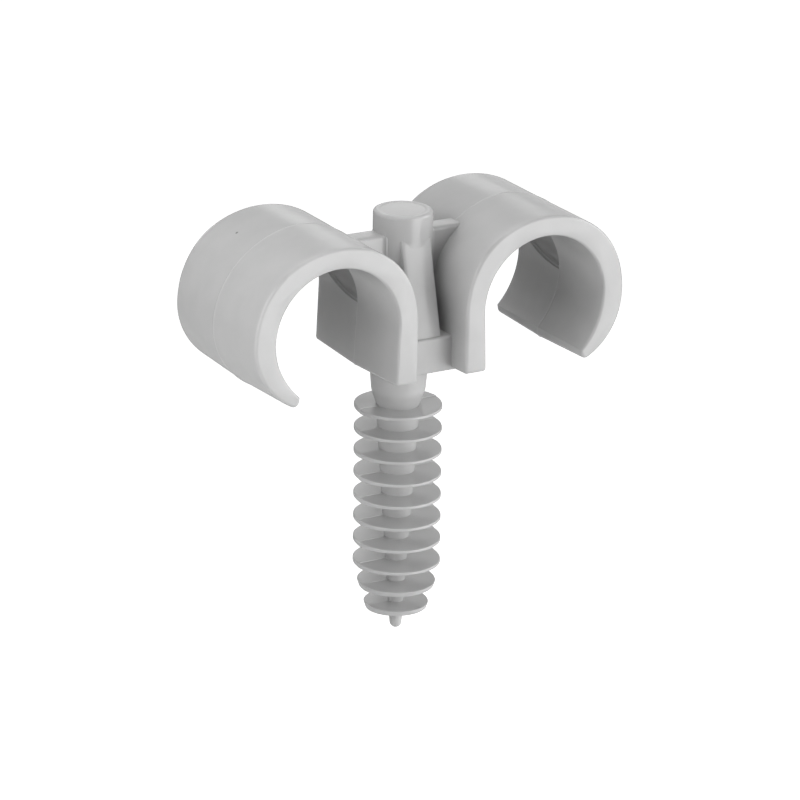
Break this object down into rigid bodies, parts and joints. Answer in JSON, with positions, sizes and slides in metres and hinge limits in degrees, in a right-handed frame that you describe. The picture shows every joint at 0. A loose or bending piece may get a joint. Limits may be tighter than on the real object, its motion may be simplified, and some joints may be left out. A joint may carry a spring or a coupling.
{
  "type": "double pipe clip",
  "caption": "One-piece moulded pipe clip: a hook on each side of a drive column, above a finned plug that is hammered into a drilled hole.",
  "frame": {"origin": "on the plug's axis, in the plane of the wall's surface, which the base block rests on", "axes": "+Z out of the wall along the plug's axis, X across the two hooks, Y along the pipes; the relief in each seat is on the +Y side"},
  "size_m": [0.0476, 0.0186, 0.0505],
  "materials": {
    "clip_plastic": "light grey moulded nylon, satin, with fine parting lines"
  },
  "bodies": {
    "root": {"pipe_clip": "clip_plastic"}
  },
  "joints": []
}
